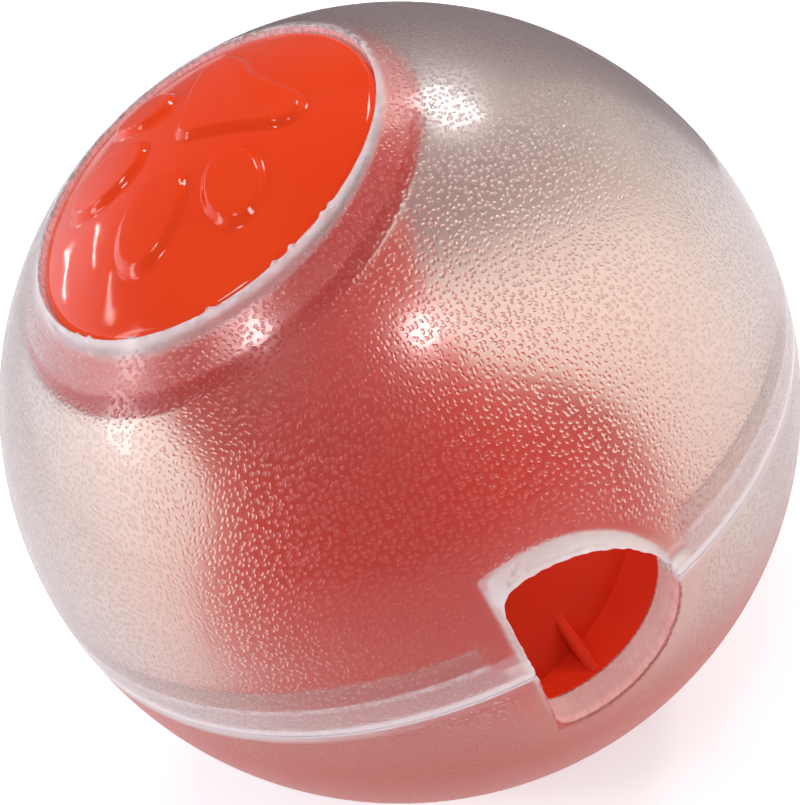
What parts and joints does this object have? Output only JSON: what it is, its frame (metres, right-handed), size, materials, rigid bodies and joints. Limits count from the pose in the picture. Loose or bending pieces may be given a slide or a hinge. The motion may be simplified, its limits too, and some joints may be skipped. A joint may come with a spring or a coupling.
{
  "type": "treat dispensing ball",
  "caption": "Clear pebbled ball in two lipped shells, with a flared core, a domed cap with a paw relief and a side opening that drops dry treats as it rolls.",
  "frame": {"origin": "the ball's centre, in the plane of the seam between the two shells", "axes": "+Z to the upper shell's pole, square to the seam; +X through the middle of the treat opening; +Y to the right when facing the opening"},
  "size_m": [0.0794, 0.08, 0.08],
  "materials": {
    "clear_shell": "clear, slightly milky moulding, finely pebbled outside and polished at its edges",
    "core_plastic": "orange-red moulding, satin gloss",
    "cap_plastic": "orange-red moulding, high gloss with slight waviness"
  },
  "bodies": {
    "lower_body": {"lower_shell": "clear_shell"},
    "core_body": {"treat_core": "core_plastic", "paw_cap": "cap_plastic"},
    "upper_body": {"upper_shell": "clear_shell"}
  },
  "joints": [
    {"name": "core_lift", "type": "slide", "parent": "lower_body", "child": "core_body", "axis": [0, 0, 1], "range_m": [0, 0.04]},
    {"name": "upper_shell_lift", "type": "slide", "parent": "core_body", "child": "upper_body", "axis": [0, 0, 1], "range_m": [0, 0.045]}
  ]
}
